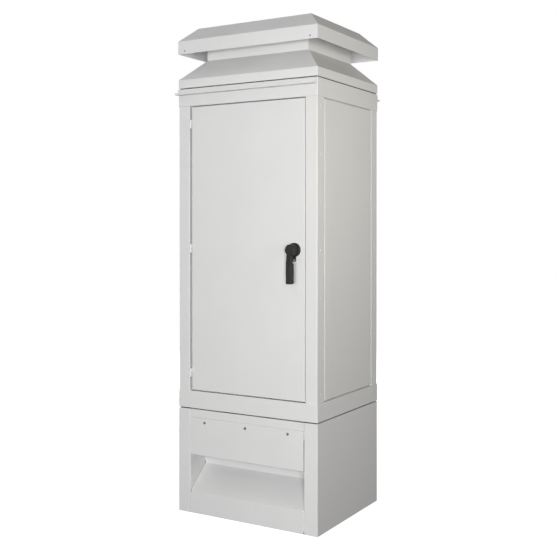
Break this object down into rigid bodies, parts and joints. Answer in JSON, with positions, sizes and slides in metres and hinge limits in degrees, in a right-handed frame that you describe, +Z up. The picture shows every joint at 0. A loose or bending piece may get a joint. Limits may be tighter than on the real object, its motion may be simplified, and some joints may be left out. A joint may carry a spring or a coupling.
{
  "type": "roadside utility cabinet",
  "caption": "Free-standing sheet-steel outdoor equipment cabinet with air-inlet plinth, hinged door with rod lock and lever, rain gutters and a ventilated double roof.",
  "frame": {"origin": "centre of the plinth's footprint, on the ground", "axes": "+Z up, -Y out of the front door, +X to the right seen from the front"},
  "size_m": [0.602, 0.5685, 1.839],
  "materials": {
    "grey_paint": "light grey powder coat, fine texture, satin",
    "rivet_metal": "painted-over blind rivet heads",
    "zinc_steel": "zinc-plated steel",
    "black_rubber": "black foam rubber seal",
    "black_plastic": "black glass-filled plastic, satin"
  },
  "bodies": {
    "cabinet": {"plinth_left_side": "grey_paint", "plinth_right_side": "grey_paint", "plinth_front_rail": "grey_paint", "plinth_rear_panel": "grey_paint", "inlet_cover": "grey_paint", "inlet_baffle": "grey_paint", "bottom_ring": "grey_paint", "top_ring": "grey_paint", "post_front_left": "grey_paint", "post_front_right": "grey_paint", "post_rear_left": "grey_paint", "post_rear_right": "grey_paint", "left_panel": "grey_paint", "right_panel": "grey_paint", "rear_panel": "grey_paint", "front_gutter": "grey_paint", "rear_gutter": "grey_paint", "frame_hinges": "grey_paint", "roof_collar": "grey_paint", "roof_cap": "grey_paint", "floor_plate": "grey_paint", "vent_plate": "grey_paint", "panel_rivets": "rivet_metal", "cap_rivets": "rivet_metal", "cover_screws": "zinc_steel", "plinth_bolts": "zinc_steel", "gland_plate": "zinc_steel", "rail_front_left": "zinc_steel", "rail_front_right": "zinc_steel", "rail_rear_left": "zinc_steel", "rail_rear_right": "zinc_steel", "rail_supports_left": "zinc_steel", "rail_supports_right": "zinc_steel", "hinge_pins": "zinc_steel", "roof_bolts": "zinc_steel", "cap_brackets": "zinc_steel", "cover_washers": "black_rubber", "plinth_seal": "black_rubber", "roof_seal": "black_rubber"},
    "door": {"door_leaf": "grey_paint", "door_gasket": "black_rubber", "door_hinges": "grey_paint", "rosette": "black_plastic", "lock_case": "zinc_steel", "lock_cover": "zinc_steel", "rod_guides": "black_plastic"},
    "handle": {"lever": "black_plastic", "spindle": "zinc_steel", "pinion": "zinc_steel"},
    "upper_rod": {"upper_rod": "zinc_steel"},
    "lower_rod": {"lower_rod": "zinc_steel"}
  },
  "joints": [
    {"name": "door_hinge", "type": "hinge", "parent": "cabinet", "child": "door", "pos_m": [-0.24475, -0.248, 0.999], "axis": [0, 0, -1], "range_deg": [0, 120]},
    {"name": "handle_turn", "type": "hinge", "parent": "door", "child": "handle", "pos_m": [0.207, -0.248, 0.999], "axis": [0, 1, 0], "range_deg": [0, 90]},
    {"name": "upper_rod_slide", "type": "slide", "parent": "door", "child": "upper_rod", "axis": [0, 0, -1], "range_m": [0, 0.012]},
    {"name": "lower_rod_slide", "type": "slide", "parent": "door", "child": "lower_rod", "axis": [0, 0, 1], "range_m": [0, 0.012]}
  ],
  "couplings": [
    {"joint": "upper_rod_slide", "follows": "handle_turn", "m_per_rad": 0.0076394},
    {"joint": "lower_rod_slide", "follows": "handle_turn", "m_per_rad": 0.0076394}
  ]
}
